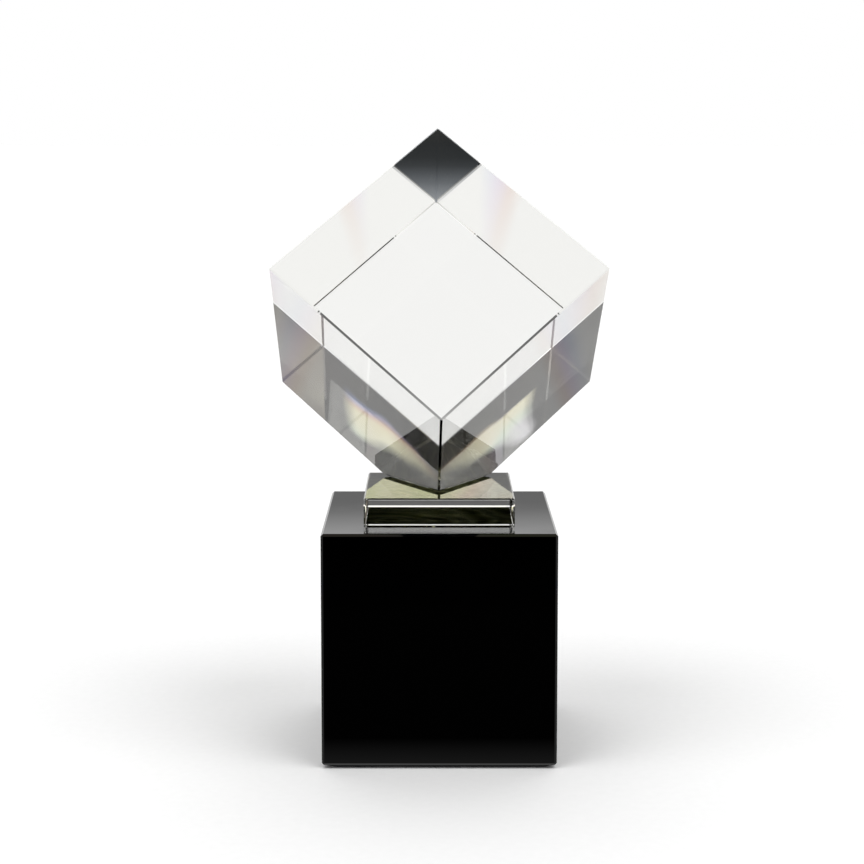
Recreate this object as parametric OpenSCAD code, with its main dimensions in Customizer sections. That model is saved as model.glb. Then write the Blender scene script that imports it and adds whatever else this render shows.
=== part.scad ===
// Crystal award: a clear cube standing on one cut corner, on a thin clear plate and a tall black block.
// Millimetres, +Z up, resting on Z = 0, front towards -Y, the clear cube's upright diagonal on the Z axis.

/* [Clear cube] */
// Edge of the clear cube before its bevels
cube_edge = 80; // [55:1:110]
// How far each bevel of the clear cube reaches across a face
cube_bevel = 0.6; // [0.3:0.1:1.5]
// How much of the upright diagonal is cut off at the lowest corner
cube_corner_cut = 15.2; // [9:0.1:20]
// How far each bevel round the cut facet reaches across the facet
facet_bevel = 1; // [0.5:0.1:1.5]
// Turn of the clear cube on its plate, in degrees, front corner to the right
cube_turn = 0.8; // [-3:0.1:3]

/* [Clear plate] */
// Width and depth of the plate under the clear cube
plate_width = 50.6; // [42:0.2:70]
// Thickness of the plate
plate_thickness = 9.2; // [5:0.1:15]
// How far each bevel of the plate reaches across a face
plate_bevel = 0.5; // [0.3:0.1:1]

/* [Black block] */
// Width and depth of the black block
block_width = 78; // [55:1:110]
// Height of the black block
block_height = 78; // [40:1:140]
// How far each bevel of the black block reaches across a face
block_bevel = 0.8; // [0.4:0.1:2]

/* [Layout] */
// How far the block and plate stand in front of the clear cube's diagonal
base_forward = 7.7; // [0:0.1:9]
// How far the block and plate stand to the right of the clear cube's diagonal
base_aside = 0.4; // [-2:0.1:2]

/* [Bonds] */
// Thickness of each cured layer of clear adhesive
bond_thickness = 0.1; // [0.05:0.05:0.3]
// How far each layer of clear adhesive stops short of the bevels
bond_margin = 0.15; // [0.1:0.05:1]

/* [Foot pad] */
// Thickness of the foam pad under the block
pad_thickness = 1; // [0.5:0.1:3]
// How far the pad stops short of the block's bottom bevel
pad_margin = 1.2; // [0.4:0.1:6]
// Corner radius of the pad
pad_corner = 3; // [1:0.5:8]
// Thickness of the sticky layer that holds the pad
pad_glue_thickness = 0.1; // [0.05:0.05:0.3]
// How far the sticky layer stops short of the pad's edge
pad_glue_margin = 0.5; // [0.2:0.1:2]

/* [Hidden] */
$fn = 96;
colour_clear = [0.93, 0.95, 0.96];
colour_black = [0.02, 0.02, 0.022];
colour_bond = [0.86, 0.88, 0.84];
colour_foam = [0.05, 0.05, 0.05];
colour_glue = [0.8, 0.78, 0.72];

// each piece stands on the one below it
pad_top = pad_thickness;
block_bottom = pad_top + pad_glue_thickness;
block_top = block_bottom + block_height;
plate_bottom = block_top + bond_thickness;
plate_top = plate_bottom + plate_thickness;
cut_level = plate_top + bond_thickness;

// a cube on its corner: its upright diagonal, and how far that leans from an edge
cube_lean = atan(sqrt(2));
cube_corner_level = cut_level - cube_corner_cut;
// the cut facet is a triangle: inscribed radius for a cut this deep, before its bevels
facet_inradius = cube_corner_cut / sqrt(2);
// the facet meets each lower face at this angle, and its bevel splits it in two
facet_angle = 90 - asin(1 / sqrt(3));
bevel_lean = facet_angle / 2;
bevel_depth = facet_bevel * sin(bevel_lean);
// the flat that is left inside the facet's three bevels
facet_flat_inradius = facet_inradius - facet_bevel;
// longer than any piece
reach = 2 * cube_edge;

// the facet's corners point along the cube's three lower edges
facet_start = -90;
facet_side_start = 90;
third_turn = 120;
square_turn = 90;

// a square outline with its corners bevelled, centred
module bevelled_outline(wide, high, bevel) {
    x = wide / 2;
    y = high / 2;
    polygon([
        [x, bevel - y], [x, y - bevel], [x - bevel, y], [bevel - x, y],
        [-x, y - bevel], [-x, bevel - y], [bevel - x, -y], [x - bevel, -y],
    ]);
}

// a square block with every edge bevelled, standing on Z = 0
module bevelled_block(wide, high, bevel) {
    translate([0, 0, high / 2])
        intersection() {
            linear_extrude(height = high, center = true) bevelled_outline(wide, wide, bevel);
            rotate([square_turn, 0, 0])
                linear_extrude(height = wide, center = true) bevelled_outline(wide, high, bevel);
            rotate([square_turn, 0, square_turn])
                linear_extrude(height = wide, center = true) bevelled_outline(wide, high, bevel);
        }
}

// everything under the clear cube stands on the block's own axis
module on_base_axis(level) {
    translate([base_aside, -base_forward, level]) children();
}

// the cube's directions, seen from above
module with_cube_turn() {
    rotate([0, 0, cube_turn]) children();
}

// the whole clear cube, on its lowest corner, with that corner at the origin
module whole_cube() {
    rotate([0, 0, square_turn])
        rotate([0, -cube_lean, 0])
            rotate([0, 0, -square_turn / 2])
                translate([cube_edge / 2, cube_edge / 2, 0])
                    bevelled_block(cube_edge, cube_edge, cube_bevel);
}

// the flat triangle inside the facet's bevels, its corners under the cube's three lower edges
module facet_outline(margin) {
    radius = 2 * (facet_flat_inradius - margin);
    polygon([for (k = [0:2])
        radius * [cos(facet_start + k * third_turn), sin(facet_start + k * third_turn)]]);
}

// takes off what lies below the cut level, and the sharp rim left around the facet
module below_cut() {
    translate([-reach, -reach, -2 * reach]) cube([2 * reach, 2 * reach, 2 * reach]);
    for (k = [0:2])
        rotate([0, 0, facet_side_start + k * third_turn])
            translate([facet_inradius, 0, 0])
                rotate([0, -bevel_lean, 0])
                    translate([-reach, -reach, bevel_depth - 2 * reach])
                        cube([2 * reach, 2 * reach, 2 * reach]);
}

module crystal_cube() {
    color(colour_clear)
        with_cube_turn()
            difference() {
                translate([0, 0, cube_corner_level]) whole_cube();
                translate([0, 0, cut_level]) below_cut();
            }
}

module cube_bond() {
    color(colour_bond)
        with_cube_turn()
            translate([0, 0, plate_top])
                linear_extrude(height = bond_thickness) facet_outline(bond_margin);
}

module clear_plate() {
    color(colour_clear)
        on_base_axis(plate_bottom)
            bevelled_block(plate_width, plate_thickness, plate_bevel);
}

module plate_bond() {
    bond_width = plate_width - 2 * (plate_bevel + bond_margin);
    color(colour_bond)
        on_base_axis(block_top)
            linear_extrude(height = bond_thickness) square(bond_width, center = true);
}

module black_block() {
    color(colour_black)
        on_base_axis(block_bottom)
            bevelled_block(block_width, block_height, block_bevel);
}

// a square with round corners, cut in by a margin all round
module pad_outline(margin) {
    pad_width = block_width - 2 * (block_bevel + pad_margin);
    straight = pad_width - 2 * pad_corner;
    radius = pad_corner - margin;
    square([pad_width - 2 * margin, straight], center = true);
    square([straight, pad_width - 2 * margin], center = true);
    for (x = [-1, 1], y = [-1, 1])
        translate([x * straight / 2, y * straight / 2]) circle(radius);
}

module pad_glue() {
    color(colour_glue)
        on_base_axis(pad_top)
            linear_extrude(height = pad_glue_thickness) pad_outline(pad_glue_margin);
}

module foot_pad() {
    color(colour_foam)
        on_base_axis(0)
            linear_extrude(height = pad_thickness) pad_outline(0);
}

crystal_cube();
cube_bond();
clear_plate();
plate_bond();
black_block();
pad_glue();
foot_pad();
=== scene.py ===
import math
import bmesh
import bpy
from mathutils import Matrix, Vector


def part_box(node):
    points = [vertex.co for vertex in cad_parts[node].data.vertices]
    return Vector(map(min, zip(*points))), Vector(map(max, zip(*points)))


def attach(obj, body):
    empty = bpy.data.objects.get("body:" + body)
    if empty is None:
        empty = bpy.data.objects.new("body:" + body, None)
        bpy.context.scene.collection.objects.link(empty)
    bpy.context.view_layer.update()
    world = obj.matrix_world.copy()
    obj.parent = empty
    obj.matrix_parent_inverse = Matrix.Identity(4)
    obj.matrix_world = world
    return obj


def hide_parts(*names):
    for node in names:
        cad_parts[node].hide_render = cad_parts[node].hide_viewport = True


# A crystal award: a clear cube on its corner, a clear plate and a black block, bonded together.
# Metres, +Z up, front towards -Y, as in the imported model.

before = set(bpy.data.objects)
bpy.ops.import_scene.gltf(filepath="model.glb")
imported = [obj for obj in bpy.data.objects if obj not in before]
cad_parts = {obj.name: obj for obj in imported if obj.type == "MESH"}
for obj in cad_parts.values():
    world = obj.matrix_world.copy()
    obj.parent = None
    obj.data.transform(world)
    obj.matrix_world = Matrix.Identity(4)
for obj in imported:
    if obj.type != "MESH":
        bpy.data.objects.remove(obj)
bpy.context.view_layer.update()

MM = 0.001
LOW, HIGH = 0, 1
# how near a cut a corner counts as lying in it, and how far off its height a level face may be
CUT_TOLERANCE = 1e-7
LEVEL_TOLERANCE = 1e-6


# --- helpers ---------------------------------------------------------------------------

def hex_rgba(code):
    """An sRGB hex colour as linear numbers, with a full alpha."""
    parts = [int(code[i:i + 2], 16) / 255 for i in (1, 3, 5)]
    return (*[p / 12.92 if p <= 0.04045 else ((p + 0.055) / 1.055) ** 2.4 for p in parts], 1.0)


def add(tree, kind, settings=None, links=None):
    """Adds a node, sets its properties and inputs, and links its inputs."""
    node = tree.nodes.new(kind)
    for name, value in (settings or {}).items():
        if isinstance(name, int) or name in node.inputs:
            node.inputs[name].default_value = value
        else:
            setattr(node, name, value)
    for name, source in (links or {}).items():
        tree.links.new(source, node.inputs[name])
    return node


def set_ramp(node, stops):
    """Gives a colour ramp its stops, each a position and a hex colour or a grey level."""
    ramp = node.color_ramp
    while len(ramp.elements) > 1:
        ramp.elements.remove(ramp.elements[-1])
    for i, (place, colour) in enumerate(stops):
        stop = ramp.elements[0] if i == 0 else ramp.elements.new(place)
        stop.position = place
        stop.color = hex_rgba(colour) if isinstance(colour, str) else (colour, colour, colour, 1)


def new_material(name):
    """A material with an empty node tree."""
    material = bpy.data.materials.new(name)
    material.use_nodes = True
    material.node_tree.nodes.clear()
    return material, material.node_tree


def new_object(bm, name, materials):
    """Turns a bmesh into an object in the scene."""
    bmesh.ops.recalc_face_normals(bm, faces=bm.faces[:])
    mesh = bpy.data.meshes.new(name)
    bm.to_mesh(mesh)
    bm.free()
    made = bpy.data.objects.new(name, mesh)
    bpy.context.collection.objects.link(made)
    for material in materials:
        mesh.materials.append(material)
    return made


# --- materials -------------------------------------------------------------------------
# optical crystal and black crystal bend light alike
CRYSTAL_IOR = 1.517
CURED_IOR = 1.5


def polished_crystal():
    """Optical crystal, ground flat and polished with cerium oxide.

    Clear with sharp edges to everything seen in it. Each pass through a face leaves the light a
    touch warmer, and the last trace of the lap's waviness makes reflections swim very slightly.
    """
    lap_wave, lap_tilt = 26 * MM, 0.0012
    material, tree = new_material("polished_optical_crystal")
    place = add(tree, "ShaderNodeTexCoord")
    wave = add(tree, "ShaderNodeTexNoise", {"Scale": 1 / lap_wave, "Detail": 1.0, "Roughness": 0.4},
               {"Vector": place.outputs["Object"]})
    swing = add(tree, "ShaderNodeVectorMath", {"operation": "SUBTRACT", 1: (0.5, 0.5, 0.5)},
                {0: wave.outputs["Color"]})
    ground = add(tree, "ShaderNodeNewGeometry")
    tilted = add(tree, "ShaderNodeVectorMath", {"operation": "MULTIPLY_ADD", 1: (lap_tilt,) * 3},
                 {0: swing.outputs[0], 2: ground.outputs["Normal"]})
    face = add(tree, "ShaderNodeVectorMath", {"operation": "NORMALIZE"}, {0: tilted.outputs[0]})
    glass = add(tree, "ShaderNodeBsdfGlass",
                {"Color": hex_rgba("#fefefd"), "Roughness": 0.0, "IOR": CRYSTAL_IOR},
                {"Normal": face.outputs[0]})
    add(tree, "ShaderNodeOutputMaterial", links={"Surface": glass.outputs[0]})
    return material


def bonded_crystal():
    """Crystal wetted by clear adhesive: the two bend light alike, so the joint all but vanishes."""
    material, tree = new_material("bonded_crystal_face")
    clear = add(tree, "ShaderNodeBsdfTransparent", {"Color": hex_rgba("#fefefc")})
    add(tree, "ShaderNodeOutputMaterial", links={"Surface": clear.outputs[0]})
    return material


def bevel_with_painted_dark_line():
    """The bevel round the cut facet, wetted by adhesive that was squeezed out of the joint.

    Its glass is tinted nearly black: painted shade that draws a fine dark line round the foot of
    the cube, a little rippled where the adhesive set.
    """
    ripple_size, ripple_height = 1.5 * MM, 0.03 * MM
    material, tree = new_material("adhesive_bevel_painted_dark")
    place = add(tree, "ShaderNodeTexCoord")
    ripple = add(tree, "ShaderNodeTexNoise", {"Scale": 1 / ripple_size, "Detail": 2.0},
                 {"Vector": place.outputs["Object"]})
    bump = add(tree, "ShaderNodeBump", {"Strength": 1.0, "Distance": ripple_height},
               {"Height": ripple.outputs[0]})
    # the near-black tint is painted shade: it makes the dark line round the foot of the cube
    glass = add(tree, "ShaderNodeBsdfGlass",
                {"Color": hex_rgba("#33352c"), "Roughness": 0.05, "IOR": CURED_IOR},
                {"Normal": bump.outputs[0]})
    add(tree, "ShaderNodeOutputMaterial", links={"Surface": glass.outputs[0]})
    return material


def cured_adhesive():
    """UV-cured clear adhesive between two crystal faces, with fine trapped bubbles."""
    bubble_pitch = 1.6 * MM
    material, tree = new_material("cured_clear_adhesive")
    place = add(tree, "ShaderNodeTexCoord")
    cells = add(tree, "ShaderNodeTexVoronoi", {"Scale": 1 / bubble_pitch},
                {"Vector": place.outputs["Object"]})
    bubble = add(tree, "ShaderNodeValToRGB", links={"Fac": cells.outputs["Distance"]})
    set_ramp(bubble, [(0.0, "#e9ebe2"), (0.07, "#f4f5ee"), (0.1, "#fefefc")])
    clear = add(tree, "ShaderNodeBsdfTransparent", links={"Color": bubble.outputs[0]})
    add(tree, "ShaderNodeOutputMaterial", links={"Surface": clear.outputs[0]})
    return material


def adhesive_on_black():
    """Clear adhesive poured between the plate and the black block.

    Through it the block looks dark olive, with the long swirls it set in as it was squeezed out.
    """
    swirl_pitch, drift_size, drift_reach = 17 * MM, 34 * MM, 30 * MM
    # at scale 1 a wave texture repeats about every third of a unit
    waves_per_unit = 3
    material, tree = new_material("adhesive_over_black")
    place = add(tree, "ShaderNodeTexCoord")
    drift = add(tree, "ShaderNodeTexNoise", {"Scale": 1 / drift_size, "Detail": 1.0},
                {"Vector": place.outputs["Object"]})
    pushed = add(tree, "ShaderNodeVectorMath",
                 {"operation": "MULTIPLY_ADD", 1: (drift_reach, drift_reach, 0.0)},
                 {0: drift.outputs["Color"], 2: place.outputs["Object"]})
    swirl = add(tree, "ShaderNodeTexWave",
                {"wave_type": "RINGS", "rings_direction": "Z", "Scale": 1 / (swirl_pitch * waves_per_unit),
                 "Distortion": 2.0, "Detail": 1.0, "Detail Scale": 0.6},
                {"Vector": pushed.outputs[0]})
    tone = add(tree, "ShaderNodeValToRGB", links={"Fac": swirl.outputs["Fac"]})
    set_ramp(tone, [(0.0, "#43472c"), (0.35, "#5c6042"), (0.7, "#6e7254"), (1.0, "#555940")])
    film = add(tree, "ShaderNodeBsdfPrincipled",
               {"Roughness": 0.5, "IOR": CURED_IOR, "Specular IOR Level": 0.0},
               {"Base Color": tone.outputs[0]})
    add(tree, "ShaderNodeOutputMaterial", links={"Surface": film.outputs[0]})
    return material


def black_crystal():
    """Black crystal, ground and polished like the clear pieces: jet black, a mirror only at a low angle."""
    lap_wave, lap_height = 30 * MM, 0.004 * MM
    haze_size = 18 * MM
    material, tree = new_material("polished_black_crystal")
    place = add(tree, "ShaderNodeTexCoord")
    wave = add(tree, "ShaderNodeTexNoise", {"Scale": 1 / lap_wave, "Detail": 1.0},
               {"Vector": place.outputs["Object"]})
    bump = add(tree, "ShaderNodeBump", {"Strength": 1.0, "Distance": lap_height},
               {"Height": wave.outputs[0]})
    haze = add(tree, "ShaderNodeTexNoise", {"Scale": 1 / haze_size, "Detail": 4.0},
               {"Vector": place.outputs["Object"]})
    polish = add(tree, "ShaderNodeMapRange",
                 {"From Min": 0.35, "From Max": 0.75, "To Min": 0.0, "To Max": 0.06},
                 {"Value": haze.outputs[0]})
    shader = add(tree, "ShaderNodeBsdfPrincipled",
                 {"Base Color": hex_rgba("#000000"), "IOR": CRYSTAL_IOR, "Specular IOR Level": 0.12},
                 {"Roughness": polish.outputs[0], "Normal": bump.outputs[0]})
    add(tree, "ShaderNodeOutputMaterial", links={"Surface": shader.outputs[0]})
    return material


def pad_glue():
    """Pressure-sensitive film: waxy, straw-coloured and mottled where it has been pressed down."""
    mottle_size = 5 * MM
    material, tree = new_material("tacky_film")
    place = add(tree, "ShaderNodeTexCoord")
    mottle = add(tree, "ShaderNodeTexNoise", {"Scale": 1 / mottle_size, "Detail": 3.0},
                 {"Vector": place.outputs["Object"]})
    tone = add(tree, "ShaderNodeValToRGB", links={"Fac": mottle.outputs[0]})
    set_ramp(tone, [(0.3, "#b9ad8c"), (0.7, "#d2c8ab")])
    shader = add(tree, "ShaderNodeBsdfPrincipled", {"Roughness": 0.55, "IOR": 1.47},
                 {"Base Color": tone.outputs[0]})
    add(tree, "ShaderNodeOutputMaterial", links={"Surface": shader.outputs[0]})
    return material


def eva_foam():
    """Closed-cell EVA foam sheet, skived and die-cut: matt black, with fine cells that catch the light."""
    # real cells are about half this size, too fine to show
    cell_size = 0.5 * MM
    scuff_size = 8 * MM
    material, tree = new_material("black_eva_foam")
    place = add(tree, "ShaderNodeTexCoord")
    cells = add(tree, "ShaderNodeTexVoronoi", {"Scale": 1 / cell_size}, {"Vector": place.outputs["Object"]})
    scuffs = add(tree, "ShaderNodeTexNoise", {"Scale": 1 / scuff_size, "Detail": 3.0},
                 {"Vector": place.outputs["Object"]})
    # the cell hollows are painted darker and their rims lighter: painted shade and highlight on the black
    # foam, over what the bump shows
    tone = add(tree, "ShaderNodeValToRGB", links={"Fac": cells.outputs["Distance"]})
    set_ramp(tone, [(0.0, "#0c0c0d"), (0.45, "#18181a"), (0.8, "#242426")])
    worn = add(tree, "ShaderNodeMapRange", {"To Min": 0.75, "To Max": 0.95}, {"Value": scuffs.outputs[0]})
    bump = add(tree, "ShaderNodeBump", {"Strength": 0.8, "Distance": cell_size / 4},
               {"Height": cells.outputs["Distance"]})
    shader = add(tree, "ShaderNodeBsdfPrincipled", {"IOR": 1.48, "Specular IOR Level": 0.35},
                 {"Base Color": tone.outputs[0], "Roughness": worn.outputs[0], "Normal": bump.outputs[0]})
    add(tree, "ShaderNodeOutputMaterial", links={"Surface": shader.outputs[0]})
    return material


CRYSTAL = polished_crystal()
BONDED = bonded_crystal()
BEVEL_PAINTED_DARK = bevel_with_painted_dark_line()
FOAM = eva_foam()


# --- grinding the blocks -----------------------------------------------------------------

def grind(bm, point, normal):
    """Takes off everything on the far side of a plane and closes the cut with one flat face."""
    cut = bmesh.ops.bisect_plane(
        bm, geom=bm.verts[:] + bm.edges[:] + bm.faces[:], dist=CUT_TOLERANCE,
        plane_co=point, plane_no=normal, clear_outer=True)
    rim = [e for e in cut["geom_cut"] if isinstance(e, bmesh.types.BMEdge)]
    bmesh.ops.edgeloop_fill(bm, edges=rim)
    bm.normal_update()


def ground_block(low, high, bevel):
    """A square-cut block between two corners, with a flat bevel ground on each of its 12 edges."""
    low, high = Vector(low), Vector(high)
    centre, half = (low + high) / 2, (high - low) / 2
    bm = bmesh.new()
    bmesh.ops.create_cube(bm, size=1, matrix=Matrix.LocRotScale(centre, None, high - low))
    for i, j in ((0, 1), (1, 2), (2, 0)):
        for side_i in (-1, 1):
            for side_j in (-1, 1):
                normal = Vector()
                normal[i], normal[j] = side_i, side_j
                point = centre.copy()
                point[i] += side_i * half[i]
                point[j] += side_j * (half[j] - bevel)
                grind(bm, point, normal)
    return bm


def lies_in(face, level):
    """True for a level face at this height."""
    return abs(face.calc_center_median().z - level) < LEVEL_TOLERANCE and abs(face.normal.z) > 0.99


def mark_bond(bm, outline):
    """Cuts a bond's outline into the level face that it lies in.

    What is inside the outline gets the second material.
    """
    level = outline[0].z
    sides = list(zip(outline, outline[1:] + outline[:1]))
    for a, b in sides:
        flat = [f for f in bm.faces if lies_in(f, level)]
        geom = {x for f in flat for x in [f, *f.edges, *f.verts]}
        bmesh.ops.bisect_plane(bm, geom=list(geom), dist=CUT_TOLERANCE, plane_co=a,
                               plane_no=(b - a).cross(Vector((0, 0, 1))))
        bm.normal_update()
    centre = sum(outline, Vector()) / len(outline)
    for f in bm.faces:
        c = f.calc_center_median()
        inside = all((b - a).cross(c - a).z * (b - a).cross(centre - a).z > 0 for a, b in sides)
        if inside and lies_in(f, level):
            f.material_index = 1


def film_outline(node, level):
    """The corners of a level bond film, seen from above, raised to a level."""
    mesh = bpy.data.objects[node].data
    points = {(round(v.co.x, 6), round(v.co.y, 6)) for v in mesh.vertices}
    centre = Vector((sum(x for x, y in points), sum(y for x, y in points))) / len(points)
    around = sorted(points, key=lambda p: math.atan2(p[1] - centre.y, p[0] - centre.x))
    return [Vector((x, y, level)) for x, y in around]


def carried(piece, node):
    """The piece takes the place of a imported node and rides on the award."""
    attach(piece, "root")
    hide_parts(node)


# --- the clear cube ----------------------------------------------------------------------
CUBE_EDGE = 80 * MM
CUBE_BEVEL = 0.6 * MM
CUBE_TURN = math.radians(0.8)
CUT_DEPTH = 15.2 * MM
FACET_BEVEL = 1.0 * MM
CUT_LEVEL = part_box("crystal_cube")[LOW][2]
PLATE_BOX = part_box("clear_plate")

# the angle between a lower face and the cut facet, shared by the bevel between them
BEVEL_LEAN = (math.pi / 2 - math.asin(1 / math.sqrt(3))) / 2
FACET_INRADIUS = CUT_DEPTH / math.sqrt(2)
THIRD_TURN = math.tau / 3


def clear_cube():
    """The cube on its corner, its lowest corner cut off level and the rim of the cut bevelled."""
    bm = ground_block((0, 0, 0), (CUBE_EDGE,) * 3, CUBE_BEVEL)
    corner = Vector((0, 0, CUT_LEVEL - CUT_DEPTH))
    lean = math.atan(math.sqrt(2))
    stand = (Matrix.Translation(corner) @ Matrix.Rotation(math.pi / 2 + CUBE_TURN, 4, "Z")
             @ Matrix.Rotation(-lean, 4, "Y") @ Matrix.Rotation(-math.pi / 4, 4, "Z"))
    bmesh.ops.transform(bm, matrix=stand, verts=bm.verts[:])
    grind(bm, (0, 0, CUT_LEVEL), (0, 0, -1))
    for k in range(3):
        angle = math.pi / 2 + CUBE_TURN + k * THIRD_TURN
        out = Vector((math.cos(angle), math.sin(angle), 0))
        edge = Vector((0, 0, CUT_LEVEL)) + out * (FACET_INRADIUS - FACET_BEVEL)
        grind(bm, edge, out * math.sin(BEVEL_LEAN) - Vector((0, 0, math.cos(BEVEL_LEAN))))
    mark_bond(bm, film_outline("cube_bond", CUT_LEVEL))
    # the three bevels round the facet get the third material, tinted dark as painted shade
    for f in bm.faces:
        has_bevel_lean = abs(f.normal.z + math.cos(BEVEL_LEAN)) < 1e-3
        if has_bevel_lean and f.calc_center_median().z < CUT_LEVEL + FACET_BEVEL:
            f.material_index = 2
    return new_object(bm, "crystal_cube_polished", [CRYSTAL, BONDED, BEVEL_PAINTED_DARK])


carried(clear_cube(), "crystal_cube")


# --- the clear plate ---------------------------------------------------------------------
PLATE_BEVEL = 0.5 * MM


def clear_plate():
    """The plate, with the bond of the cube on its top and the bond of the block under it."""
    bm = ground_block(*PLATE_BOX, PLATE_BEVEL)
    mark_bond(bm, film_outline("cube_bond", PLATE_BOX[HIGH][2]))
    mark_bond(bm, film_outline("plate_bond", PLATE_BOX[LOW][2]))
    return new_object(bm, "clear_plate_polished", [CRYSTAL, BONDED])


carried(clear_plate(), "clear_plate")


# --- the foot pad ------------------------------------------------------------------------
PAD_CORNER = 3 * MM
PAD_ARC_STEPS = 10
# how far the cut draws in the middle of the pad's edge, and its two rims
PAD_DRAW = 0.12 * MM


def foam_pad():
    """A die-cut pad: the knife draws the middle of its edge in and rounds its two rims over."""
    low, high = (Vector(c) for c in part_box("foot_pad"))
    centre = (low + high) / 2
    straight = (high.x - low.x) / 2 - PAD_CORNER
    thick = high.z - low.z
    # up the edge: the share of the thickness, and how far in the foam lies there
    profile = [(0.0, PAD_DRAW), (0.06, PAD_DRAW / 3), (0.15, 0.0), (0.5, PAD_DRAW),
               (0.85, 0.0), (0.94, PAD_DRAW / 3), (1.0, PAD_DRAW)]
    bm = bmesh.new()
    rings = []
    for share, draw in profile:
        ring = []
        for quarter in range(4):
            turn = quarter * math.pi / 2
            for step in range(PAD_ARC_STEPS + 1):
                angle = turn + step / PAD_ARC_STEPS * math.pi / 2
                x = straight * (1 if quarter in (0, 3) else -1) + (PAD_CORNER - draw) * math.cos(angle)
                y = straight * (1 if quarter in (0, 1) else -1) + (PAD_CORNER - draw) * math.sin(angle)
                ring.append(bm.verts.new((centre.x + x, centre.y + y, low.z + share * thick)))
        rings.append(ring)
    for lower, upper in zip(rings, rings[1:]):
        for i in range(len(lower)):
            k = (i + 1) % len(lower)
            bm.faces.new((lower[i], lower[k], upper[k], upper[i]))
    bm.faces.new(rings[0])
    bm.faces.new(rings[-1])
    return new_object(bm, "foam_pad_die_cut", [FOAM])


carried(foam_pad(), "foot_pad")


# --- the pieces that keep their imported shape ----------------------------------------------
KEPT = {
    "black_block": black_crystal(),
    "plate_bond": adhesive_on_black(),
    "cube_bond": cured_adhesive(),
    "pad_glue": pad_glue(),
}
for node, material in KEPT.items():
    for held in bpy.data.objects[node].material_slots:
        held.material = material


# --- the studio --------------------------------------------------------------------------
WHITE = hex_rgba("#ffffff")
# one layer dims another, or the brighter of the two shows
DIM = {"blend_type": "MULTIPLY", "Fac": 1.0}
BRIGHTER = {"blend_type": "LIGHTEN", "Fac": 1.0}


def paper_in_crystal_painted_shade(tree, place):
    """What the crystal sees of the floor: paper that glows evenly, with painted shade laid in front and a
    painted shadow behind.

    Places on it are metres from the middle of the award.
    """
    x, y, _ = add(tree, "ShaderNodeSeparateXYZ", links={0: place.outputs["Object"]}).outputs
    across = add(tree, "ShaderNodeMath", {"operation": "ABSOLUTE"}, {0: x})
    # painted shade in front of the award fades from white near it to black, with paper again to each side
    near = add(tree, "ShaderNodeMapRange",
               {"From Min": -0.08, "From Max": -0.046, "To Min": 0.04, "To Max": 1.0}, {"Value": y})
    wide = add(tree, "ShaderNodeMapRange", {"From Min": 0.08, "From Max": 0.14},
               {"Value": across.outputs[0]})
    front = add(tree, "ShaderNodeMath", {"operation": "MAXIMUM"}, {0: near.outputs[0], 1: wide.outputs[0]})
    # well in front, painted shade makes the floor black right across
    far = add(tree, "ShaderNodeMapRange",
              {"From Min": -0.42, "From Max": -0.25, "To Min": 0.03, "To Max": 1.0}, {"Value": y})
    # a narrow painted shadow behind, hidden by the black block, gives the dark top of the cube
    behind = add(tree, "ShaderNodeValToRGB", links={"Fac": y})
    set_ramp(behind, [(0.085, 1.0), (0.09, "#1e2022"), (0.112, "#303336"), (0.12, "#60646a"),
                      (0.13, "#9a9ea4"), (0.15, "#b8babd"), (0.18, 1.0)])
    beside = add(tree, "ShaderNodeMapRange", {"From Min": 0.045, "From Max": 0.06},
                 {"Value": across.outputs[0]})
    painted_shadow_behind = add(tree, "ShaderNodeMixRGB", BRIGHTER, {"Color1": behind.outputs[0], "Color2": beside.outputs[0]})
    # painted colour fringes on the glowing paper, standing in for the pale colours that crystal spreads at
    # its outer edges
    away = add(tree, "ShaderNodeVectorMath", {"operation": "LENGTH"}, {0: place.outputs["Object"]})
    spread = add(tree, "ShaderNodeValToRGB", links={"Fac": away.outputs["Value"]})
    set_ramp(spread, [(0.262, 1.0), (0.276, "#f7ece8"), (0.29, "#eee4f6"), (0.304, "#e2e8fb"), (0.33, 1.0)])
    outer = add(tree, "ShaderNodeMapRange", {"From Min": 0.25, "From Max": 0.225}, {"Value": y})
    pale = add(tree, "ShaderNodeMixRGB", {"Color1": WHITE},
               {"Fac": outer.outputs[0], "Color2": spread.outputs[0]})
    seen = pale.outputs[0]
    for layer in (painted_shadow_behind, front, far):
        seen = add(tree, "ShaderNodeMixRGB", DIM, {"Color1": seen, "Color2": layer.outputs[0]}).outputs[0]
    return add(tree, "ShaderNodeEmission", {"Strength": 1.0}, {"Color": seen})


def studio_floor():
    """Matt white paper under the award, so wide that its edge doesn't show."""
    half_width = 30.0
    cloud_size = 3 * MM
    material, tree = new_material("white_paper")
    place = add(tree, "ShaderNodeTexCoord")
    clouds = add(tree, "ShaderNodeTexNoise", {"Scale": 1 / cloud_size, "Detail": 3.0},
                 {"Vector": place.outputs["Object"]})
    tone = add(tree, "ShaderNodeValToRGB", links={"Fac": clouds.outputs[0]})
    set_ramp(tone, [(0.3, "#f0f0f0"), (0.7, "#f2f2f2")])
    paper = add(tree, "ShaderNodeBsdfPrincipled", {"Roughness": 0.9, "Specular IOR Level": 0.0},
                {"Base Color": tone.outputs[0]})
    # camera and diffuse rays see the lit paper; glossy and transmission rays see the glowing paper with its
    # painted shade
    path = add(tree, "ShaderNodeLightPath")
    plain = add(tree, "ShaderNodeMath", {"operation": "MAXIMUM"},
                {0: path.outputs["Is Camera Ray"], 1: path.outputs["Is Diffuse Ray"]})
    both = add(tree, "ShaderNodeMixShader",
               links={0: plain.outputs[0], 1: paper_in_crystal_painted_shade(tree, place).outputs[0], 2: paper.outputs[0]})
    add(tree, "ShaderNodeOutputMaterial", links={"Surface": both.outputs[0]})
    bm = bmesh.new()
    bmesh.ops.create_grid(bm, x_segments=1, y_segments=1, size=half_width)
    new_object(bm, "floor", [material])


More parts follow.
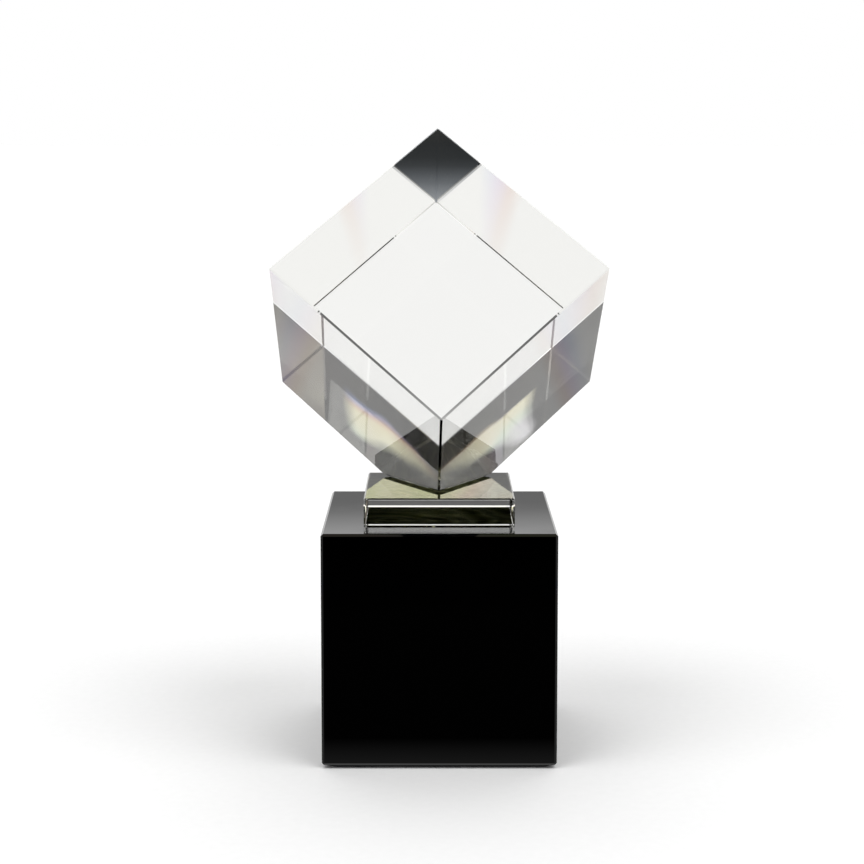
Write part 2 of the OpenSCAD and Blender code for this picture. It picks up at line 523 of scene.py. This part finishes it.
def soft_sun(name, azimuth, elevation, strength, spread):
    """A wide soft light from far away. It lights the floor, and the crystal doesn't see its disc."""
    data = bpy.data.lights.new(name, "SUN")
    data.energy = strength
    data.angle = math.radians(spread)
    sun = bpy.data.objects.new(name, data)
    bpy.context.collection.objects.link(sun)
    away = Vector((math.cos(math.radians(azimuth)), math.sin(math.radians(azimuth)),
                   math.tan(math.radians(elevation))))
    sun.rotation_euler = away.to_track_quat("Z", "Y").to_euler()
    sun.visible_glossy = False
    sun.visible_transmission = False


def studio_surroundings():
    """What the crystal sees: a glowing backdrop, a big softbox overhead, two lamps and a dim room."""
    # the cube is turned a little, so the lamps that show in the middle of it stand a little to the right
    lamp_middle = 0.0281
    # how far the inner and the outer edge of each lamp run back for each step out from the middle
    inner_slant, outer_slant = 1.085, 0.628
    # how bright the room is where it lights the paper
    room_on_paper = 0.42

    world = bpy.data.worlds.new("studio")
    bpy.context.scene.world = world
    world.use_nodes = True
    tree = world.node_tree
    tree.nodes.clear()
    place = add(tree, "ShaderNodeTexCoord")
    x, y, z = add(tree, "ShaderNodeSeparateXYZ", links={0: place.outputs["Generated"]}).outputs

    # the backdrop behind the award, by height: dark at the floor, a bright band low down, then a dim
    # one, and another bright band above
    glow = add(tree, "ShaderNodeValToRGB", links={"Fac": z})
    set_ramp(glow, [(0.1, 0.0), (0.165, 0.33), (0.19, 0.5), (0.203, 1.2), (0.225, 1.0), (0.25, 0.4),
                    (0.28, 0.17), (0.35, 0.17), (0.385, 0.5), (0.4, 1.25), (0.46, 1.2), (0.6, 0.4)])
    behind = add(tree, "ShaderNodeMapRange",
                 {"interpolation_type": "SMOOTHSTEP", "From Min": -0.1, "From Max": 0.25}, {"Value": y})

    # places on a level sheet overhead: how far forward and aside, for each step up
    forward = add(tree, "ShaderNodeMath", {"operation": "DIVIDE"}, {0: y, 1: z})
    aside = add(tree, "ShaderNodeMath", {"operation": "DIVIDE"}, {0: x, 1: z})
    off_centre = add(tree, "ShaderNodeMath", {"operation": "ABSOLUTE"}, {0: aside.outputs[0]})
    off_middle = add(tree, "ShaderNodeMath", {"operation": "SUBTRACT", 1: lamp_middle}, {0: aside.outputs[0]})
    off_lamps = add(tree, "ShaderNodeMath", {"operation": "ABSOLUTE"}, {0: off_middle.outputs[0]})
    toward = add(tree, "ShaderNodeMath", {"operation": "MULTIPLY", 1: -1.0}, {0: forward.outputs[0]})
    overhead = add(tree, "ShaderNodeMath", {"operation": "GREATER_THAN", 1: 0.3}, {0: z})

    # the softbox, right above, warmer than the paper and brighter to the right
    front_edge = add(tree, "ShaderNodeMapRange", {"From Min": 0.36, "From Max": 0.3},
                     {"Value": toward.outputs[0]})
    back_edge = add(tree, "ShaderNodeMapRange", {"From Min": 0.55, "From Max": 0.45},
                    {"Value": forward.outputs[0]})
    side_edge = add(tree, "ShaderNodeMapRange", {"From Min": 0.8, "From Max": 0.7},
                    {"Value": off_centre.outputs[0]})
    slope = add(tree, "ShaderNodeMapRange",
                {"From Min": -0.25, "From Max": 0.25, "To Min": 1.38, "To Max": 1.82}, {"Value": x})
    sheet = add(tree, "ShaderNodeCombineXYZ", links={0: aside.outputs[0], 1: forward.outputs[0]})
    weave = add(tree, "ShaderNodeTexNoise", {"Scale": 16.0, "Detail": 1.0}, {"Vector": sheet.outputs[0]})
    cloth = add(tree, "ShaderNodeValToRGB", links={"Fac": weave.outputs[0]})
    set_ramp(cloth, [(0.36, "#eef0c4"), (0.46, "#fffbdc"), (0.54, "#ffeede"), (0.64, "#f2f2e4")])

    # two slim lamps in a V in front of it: the bright kites low in the cube, with the crystal's colours
    from_inner = add(tree, "ShaderNodeMath", {"operation": "MULTIPLY_ADD", 1: inner_slant},
                     {0: off_lamps.outputs[0], 2: toward.outputs[0]})
    from_outer = add(tree, "ShaderNodeMath", {"operation": "MULTIPLY_ADD", 1: outer_slant},
                     {0: off_lamps.outputs[0], 2: toward.outputs[0]})
    inner = add(tree, "ShaderNodeMapRange", {"From Min": 0.563, "From Max": 0.566},
                {"Value": from_inner.outputs[0]})
    outer = add(tree, "ShaderNodeMapRange", {"From Min": 0.570, "From Max": 0.565},
                {"Value": from_outer.outputs[0]})
    ends = add(tree, "ShaderNodeMapRange", {"From Min": 0.055, "From Max": 0.048},
               {"Value": off_lamps.outputs[0]})
    drift = add(tree, "ShaderNodeMath", {"operation": "MULTIPLY_ADD", 1: 0.1},
                {0: off_middle.outputs[0], 2: from_inner.outputs[0]})
    hue_place = add(tree, "ShaderNodeMapRange", {"From Min": 0.556, "From Max": 0.592},
                    {"Value": drift.outputs[0]})
    hue = add(tree, "ShaderNodeValToRGB", links={"Fac": hue_place.outputs[0]})
    set_ramp(hue, [(0.12, "#7f8fbf"), (0.19, "#b3a4bd"), (0.26, "#dbb99a"), (0.35, "#ece4ba"),
                   (0.62, "#eae8c6"), (0.8, "#dcead2"), (0.95, "#e4e2ea")])
    # they are dimmer where they meet
    meet = add(tree, "ShaderNodeMapRange",
               {"From Min": 0.002, "From Max": 0.03, "To Min": 0.12, "To Max": 0.8},
               {"Value": off_lamps.outputs[0]})

    # the dim room, lighter to the right and dark overhead, with soft shapes in it
    stretch = add(tree, "ShaderNodeMapping", {"Scale": (9.0, 9.0, 3.0), "Rotation": (0.5, 0.3, 0.0)},
                  {"Vector": place.outputs["Generated"]})
    shapes = add(tree, "ShaderNodeTexNoise", {"Scale": 1.6, "Detail": 3.0}, {"Vector": stretch.outputs[0]})
    tint = add(tree, "ShaderNodeValToRGB", links={"Fac": shapes.outputs[0]})
    set_ramp(tint, [(0.3, "#1b1d18"), (0.45, "#4b4a3c"), (0.55, "#6d6660"), (0.7, "#9a978c")])
    lighter = add(tree, "ShaderNodeMapRange",
                  {"From Min": -0.5, "From Max": 0.5, "To Min": 0.0, "To Max": 1.15}, {"Value": x})
    ceiling = add(tree, "ShaderNodeMapRange",
                  {"From Min": 0.55, "From Max": 0.8, "To Min": 1.0, "To Max": 0.05}, {"Value": z})

    # each has its own colours within its own edges, and the brightest of them shows
    lights = [(glow, [behind]),
              (cloth, [front_edge, back_edge, side_edge, slope, overhead]),
              (hue, [inner, outer, ends, meet, overhead]),
              (tint, [lighter, ceiling])]
    total = None
    for colour, edges in lights:
        light = colour.outputs[0]
        for edge in edges:
            light = add(tree, "ShaderNodeMixRGB", DIM,
                        {"Color1": light, "Color2": edge.outputs[0]}).outputs[0]
        if total is not None:
            light = add(tree, "ShaderNodeMixRGB", BRIGHTER, {"Color1": total, "Color2": light}).outputs[0]
        total = light
    seen = add(tree, "ShaderNodeBackground", links={"Color": total})

    # seen directly, the room is as white as the paper, and it lights the paper evenly
    path = add(tree, "ShaderNodeLightPath")
    level = add(tree, "ShaderNodeMapRange", {"To Min": room_on_paper, "To Max": 1.0},
                {"Value": path.outputs["Is Camera Ray"]})
    white = add(tree, "ShaderNodeBackground", {"Color": WHITE}, {"Strength": level.outputs[0]})
    polished = add(tree, "ShaderNodeMath", {"operation": "MAXIMUM"},
                   {0: path.outputs["Is Glossy Ray"], 1: path.outputs["Is Transmission Ray"]})
    both = add(tree, "ShaderNodeMixShader",
               links={0: polished.outputs[0], 1: white.outputs[0], 2: seen.outputs[0]})
    add(tree, "ShaderNodeOutputWorld", links={"Surface": both.outputs[0]})


studio_floor()
studio_surroundings()
soft_sun("key_left", azimuth=212, elevation=58, strength=1.0, spread=38)
soft_sun("key_right", azimuth=328, elevation=58, strength=1.0, spread=38)
soft_sun("top_rear", azimuth=90, elevation=62, strength=0.9, spread=50)

scene = bpy.context.scene
scene.view_settings.view_transform = "Standard"
# light turns many corners inside the crystal before it comes out
scene.cycles.max_bounces = 32
scene.cycles.transmission_bounces = 32
scene.cycles.glossy_bounces = 24
scene.cycles.transparent_max_bounces = 32


# --- the camera --------------------------------------------------------------------------

def studio_camera():
    """A short telephoto lens, as high as the top of the award and looking a little down at it."""
    look_down = math.radians(5.974)
    data = bpy.data.cameras.new("camera")
    camera = bpy.data.objects.new("camera", data)
    bpy.context.collection.objects.link(camera)
    data.sensor_width = 36
    data.lens = 81.375
    data.shift_y = -0.11
    camera.location = Vector((-2.03, -676.04, 209.95)) * MM
    camera.rotation_euler = (math.pi / 2 - look_down, 0, 0)
    bpy.context.scene.camera = camera


studio_camera()
